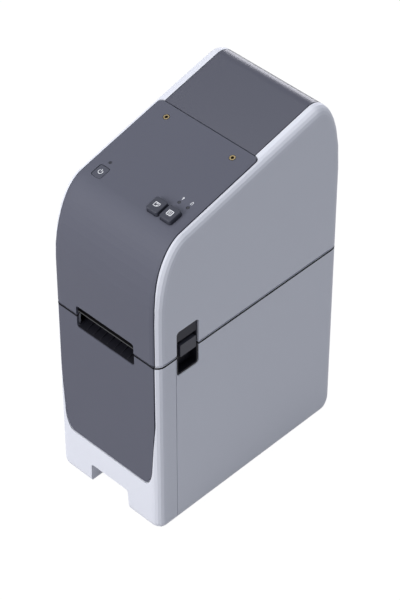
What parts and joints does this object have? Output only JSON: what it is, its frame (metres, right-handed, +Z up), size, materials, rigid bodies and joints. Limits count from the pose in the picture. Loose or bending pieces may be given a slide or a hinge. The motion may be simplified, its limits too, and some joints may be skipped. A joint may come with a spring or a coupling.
{
  "type": "label maker",
  "caption": "Tall desktop label maker: clamshell cover with smoked roll window, dark front panels, label exit with tear bar, keys, side release levers and a full printing mechanism inside.",
  "frame": {"origin": "on the desk, under the middle of the body's width and depth", "axes": "+Z up, +X to the user's right across the width, -Y towards the user, where the label comes out"},
  "size_m": [0.11, 0.196, 0.323],
  "materials": {
    "casing": "fine matt",
    "panel": "fine satin",
    "smoke": "smoked, clear",
    "black": "satin",
    "liner": "matt",
    "steel": "plated",
    "aluminium": "brushed",
    "brass": "turned",
    "rubber": "matt",
    "gear": "natural acetal",
    "board": "solder mask",
    "paper": "smooth paper",
    "card": "grey-brown card",
    "lamp": "smoked light pipe",
    "head": "glazed ceramic"
  },
  "bodies": {
    "base": {"front_shell": "casing", "main_housing": "casing", "socket_panel": "panel", "bottom_plate": "casing", "lower_front_panel": "panel", "rubber_foot_front_left": "rubber", "rubber_foot_front_right": "rubber", "rubber_foot_rear_left": "rubber", "rubber_foot_rear_right": "rubber", "hinge_pin_left": "steel", "hinge_pin_right": "steel", "label_exit_guide": "black", "finger_cup_left": "black", "finger_cup_right": "black", "print_frame": "steel", "thermal_print_head": "head", "head_heat_sink": "aluminium", "head_spring_left": "steel", "head_spring_right": "steel", "feed_motor": "aluminium", "idler_axle": "steel", "gap_sensor": "black", "roll_tray": "liner", "main_board": "board", "dc_jack": "black", "usb_socket": "black", "network_socket": "black", "serial_socket": "black"},
    "cover": {"cover_shell": "casing", "upper_panel": "panel", "roll_window": "smoke", "cover_liner": "liner", "power_lamp": "lamp", "status_lamp": "lamp", "battery_lamp": "lamp", "brass_insert_left": "brass", "brass_insert_right": "brass", "key_board": "board", "tear_bar": "steel", "platen_bracket": "liner", "platen_bush_left": "gear", "platen_bush_right": "gear", "release_bezel_left": "liner", "release_bezel_right": "liner"},
    "platen": {"platen_roller": "rubber", "platen_shaft": "steel", "platen_gear": "gear"},
    "idler": {"idler_gear": "gear"},
    "motor_rotor": {"motor_pinion": "gear"},
    "latch": {"latch_shaft": "steel", "release_lever_left": "panel", "release_lever_right": "panel"},
    "power_key": {"power_button": "black"},
    "feed_key": {"feed_button": "black"},
    "print_key": {"print_button": "black"},
    "roll": {"label_roll": "paper", "roll_core": "card"},
    "guide_left": {"roll_guide_left": "panel"},
    "guide_right": {"roll_guide_right": "panel"},
    "guide_gear": {"guide_pinion": "gear"}
  },
  "joints": [
    {"name": "cover_hinge", "type": "hinge", "parent": "base", "child": "cover", "pos_m": [0, 0.095, 0.178], "axis": [-1, 0, 0], "range_deg": [0, 80]},
    {"name": "latch_pivot", "type": "hinge", "parent": "cover", "child": "latch", "pos_m": [0, -0.046, 0.186], "axis": [-1, 0, 0], "range_deg": [0, 9], "stiffness_Nm_per_rad": 2, "springref_deg": -3.44},
    {"name": "power_press", "type": "slide", "parent": "cover", "child": "power_key", "axis": [0, 0.2363, -0.9717], "range_m": [0, 0.001], "stiffness_N_per_m": 400},
    {"name": "feed_press", "type": "slide", "parent": "cover", "child": "feed_key", "axis": [0, 0.2363, -0.9717], "range_m": [0, 0.001], "stiffness_N_per_m": 400},
    {"name": "print_press", "type": "slide", "parent": "cover", "child": "print_key", "axis": [0, 0.2363, -0.9717], "range_m": [0, 0.001], "stiffness_N_per_m": 400},
    {"name": "platen_spin", "type": "hinge", "parent": "cover", "child": "platen", "pos_m": [0, -0.08, 0.186], "axis": [1, 0, 0], "continuous": true},
    {"name": "idler_spin", "type": "hinge", "parent": "base", "child": "idler", "pos_m": [0, -0.08087, 0.167], "axis": [1, 0, 0], "continuous": true},
    {"name": "motor_spin", "type": "hinge", "parent": "base", "child": "motor_rotor", "pos_m": [0, -0.07363, 0.15338], "axis": [1, 0, 0], "continuous": true},
    {"name": "roll_spin", "type": "hinge", "parent": "base", "child": "roll", "pos_m": [0, 0.028, 0.16], "axis": [1, 0, 0], "continuous": true},
    {"name": "guide_right_slide", "type": "slide", "parent": "base", "child": "guide_right", "axis": [1, 0, 0], "range_m": [0, 0.007]},
    {"name": "guide_left_slide", "type": "slide", "parent": "base", "child": "guide_left", "axis": [-1, 0, 0], "range_m": [0, 0.007]},
    {"name": "guide_gear_spin", "type": "hinge", "parent": "base", "child": "guide_gear", "pos_m": [0, 0.028, 0.0978], "axis": [0, 0, 1], "range_deg": [-2, 60]}
  ],
  "couplings": [
    {"joint": "idler_spin", "follows": "platen_spin", "ratio": -0.90909},
    {"joint": "motor_spin", "follows": "platen_spin", "ratio": 1.6667},
    {"joint": "guide_left_slide", "follows": "guide_right_slide", "ratio": 1},
    {"joint": "guide_gear_spin", "follows": "guide_right_slide", "rad_per_m": 142.86}
  ]
}
